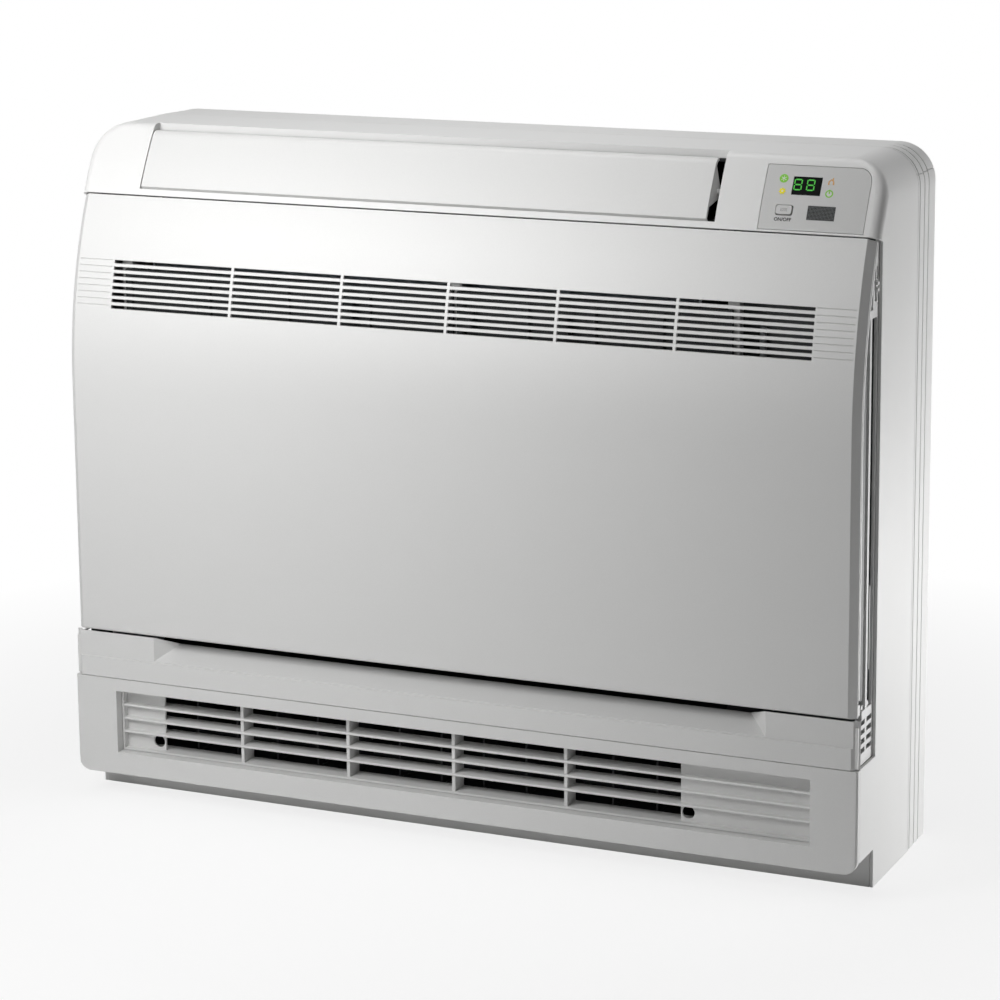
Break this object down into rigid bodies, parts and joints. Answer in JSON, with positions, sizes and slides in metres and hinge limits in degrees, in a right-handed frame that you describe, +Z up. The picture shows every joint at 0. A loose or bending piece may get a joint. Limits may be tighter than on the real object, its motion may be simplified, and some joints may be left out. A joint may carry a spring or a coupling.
{
  "type": "floor console air conditioner",
  "caption": "Slim floor-standing console air conditioner: upright cabinet with a curved drop-front panel, slotted intake, upper flap outlet and lower grille outlet.",
  "frame": {"origin": "centre of the footprint on the floor", "axes": "+X to the right seen from the front, +Y to the wall behind, +Z up; the front faces -Y"},
  "size_m": [0.73, 0.19, 0.6],
  "materials": {
    "white_plastic": "satin",
    "silver_plastic": "satin silver-white",
    "display_plastic": "satin silver",
    "grey_plastic": "satin",
    "black_plastic": "matte",
    "fan_plastic": "matte",
    "filter_mesh": "matte",
    "dark_window": "polished",
    "green_led": "lit",
    "lamp_lens": "polished",
    "circuit_board": "solder mask",
    "board_resin": "matte",
    "motor_resin": "moulded",
    "zinc_steel": "galvanised",
    "bright_steel": "zinc plated",
    "fin_aluminium": "pressed fins",
    "copper": "drawn tube",
    "brass": "machined"
  },
  "bodies": {
    "cabinet": {"cabinet_shell": "white_plastic", "rear_trim_top": "white_plastic", "rear_trim_left": "white_plastic", "rear_trim_right": "white_plastic", "back_plate": "zinc_steel", "base_tray": "grey_plastic", "lower_fascia": "silver_plastic", "lower_grille": "silver_plastic", "front_frame": "silver_plastic", "flap_motor": "zinc_steel", "display_panel": "display_plastic", "display_window": "dark_window", "led_segments": "green_led", "indicator_lights": "lamp_lens", "receiver_window": "dark_window", "display_board": "circuit_board", "side_baffles": "grey_plastic", "fan_housing": "black_plastic", "bell_mouth": "black_plastic", "fan_motor": "motor_resin", "motor_screws": "bright_steel", "casing_screws": "bright_steel", "vane_bar": "black_plastic", "damper_motor": "zinc_steel", "lower_vanes": "grey_plastic", "coil_fins": "fin_aluminium", "coil_tubes": "copper", "return_bends": "copper", "coil_end_plates": "zinc_steel", "drain_pan": "black_plastic", "drain_pipe": "grey_plastic", "liquid_pipe": "copper", "gas_pipe": "copper", "liquid_union": "brass", "gas_union": "brass", "electric_box": "zinc_steel", "electric_cover": "zinc_steel", "control_board": "circuit_board", "board_parts": "board_resin", "terminal_block": "board_resin", "room_sensor": "fan_plastic"},
    "panel": {"front_panel": "silver_plastic"},
    "flap": {"upper_flap": "silver_plastic"},
    "fan": {"fan_wheel": "fan_plastic", "motor_shaft": "bright_steel"},
    "button": {"power_button": "display_plastic"},
    "stopper_left_body": {"stopper_left": "white_plastic"},
    "stopper_right_body": {"stopper_right": "white_plastic"},
    "filter_left_body": {"filter_left": "filter_mesh"},
    "filter_right_body": {"filter_right": "filter_mesh"},
    "selector": {"selector_switch": "black_plastic"},
    "damper": {"lower_damper": "black_plastic"},
    "link": {"vane_link": "black_plastic"},
    "vane_1_body": {"vane_1": "black_plastic"},
    "vane_2_body": {"vane_2": "black_plastic"},
    "vane_3_body": {"vane_3": "black_plastic"},
    "vane_4_body": {"vane_4": "black_plastic"},
    "vane_5_body": {"vane_5": "black_plastic"},
    "vane_6_body": {"vane_6": "black_plastic"}
  },
  "joints": [
    {"name": "panel_hinge", "type": "hinge", "parent": "cabinet", "child": "panel", "pos_m": [0, -0.086, 0.161], "axis": [1, 0, 0], "range_deg": [0, 72]},
    {"name": "flap_hinge", "type": "hinge", "parent": "cabinet", "child": "flap", "pos_m": [0, -0.02944, 0.56704], "axis": [1, 0, 0], "range_deg": [0, 60]},
    {"name": "fan_spin", "type": "hinge", "parent": "cabinet", "child": "fan", "pos_m": [-0.042, 0, 0.3215], "axis": [0, 1, 0], "continuous": true},
    {"name": "damper_hinge", "type": "hinge", "parent": "cabinet", "child": "damper", "pos_m": [0, -0.022, 0.05], "axis": [1, 0, 0], "range_deg": [0, 75]},
    {"name": "button_press", "type": "slide", "parent": "cabinet", "child": "button", "axis": [0, 0.8899, -0.4562], "range_m": [0, 0.0012], "stiffness_N_per_m": 300},
    {"name": "stopper_left_slide", "type": "slide", "parent": "cabinet", "child": "stopper_left_body", "axis": [0, 0, -1], "range_m": [0, 0.008]},
    {"name": "stopper_right_slide", "type": "slide", "parent": "cabinet", "child": "stopper_right_body", "axis": [0, 0, -1], "range_m": [0, 0.008]},
    {"name": "filter_left_slide", "type": "slide", "parent": "cabinet", "child": "filter_left_body", "axis": [0, 0, 1], "range_m": [0, 0.008]},
    {"name": "filter_right_slide", "type": "slide", "parent": "cabinet", "child": "filter_right_body", "axis": [0, 0, 1], "range_m": [0, 0.008]},
    {"name": "selector_slide", "type": "slide", "parent": "cabinet", "child": "selector", "axis": [1, 0, 0], "range_m": [-0.003, 0.003]},
    {"name": "link_slide", "type": "slide", "parent": "cabinet", "child": "link", "axis": [1, 0, 0], "range_m": [-0.006, 0.006]},
    {"name": "vane_1_hinge", "type": "hinge", "parent": "cabinet", "child": "vane_1_body", "pos_m": [-0.26533, 0, 0.534], "axis": [0, 1, 0], "range_deg": [-25, 25]},
    {"name": "vane_2_hinge", "type": "hinge", "parent": "cabinet", "child": "vane_2_body", "pos_m": [-0.176, 0, 0.534], "axis": [0, 1, 0], "range_deg": [-25, 25]},
    {"name": "vane_3_hinge", "type": "hinge", "parent": "cabinet", "child": "vane_3_body", "pos_m": [-0.08667, 0, 0.534], "axis": [0, 1, 0], "range_deg": [-25, 25]},
    {"name": "vane_4_hinge", "type": "hinge", "parent": "cabinet", "child": "vane_4_body", "pos_m": [0.00267, 0, 0.534], "axis": [0, 1, 0], "range_deg": [-25, 25]},
    {"name": "vane_5_hinge", "type": "hinge", "parent": "cabinet", "child": "vane_5_body", "pos_m": [0.092, 0, 0.534], "axis": [0, 1, 0], "range_deg": [-25, 25]},
    {"name": "vane_6_hinge", "type": "hinge", "parent": "cabinet", "child": "vane_6_body", "pos_m": [0.18133, 0, 0.534], "axis": [0, 1, 0], "range_deg": [-25, 25]}
  ],
  "couplings": [
    {"joint": "vane_1_hinge", "follows": "link_slide", "rad_per_m": 72.5},
    {"joint": "vane_2_hinge", "follows": "link_slide", "rad_per_m": 72.5},
    {"joint": "vane_3_hinge", "follows": "link_slide", "rad_per_m": 72.5},
    {"joint": "vane_4_hinge", "follows": "link_slide", "rad_per_m": 72.5},
    {"joint": "vane_5_hinge", "follows": "link_slide", "rad_per_m": 72.5},
    {"joint": "vane_6_hinge", "follows": "link_slide", "rad_per_m": 72.5}
  ]
}
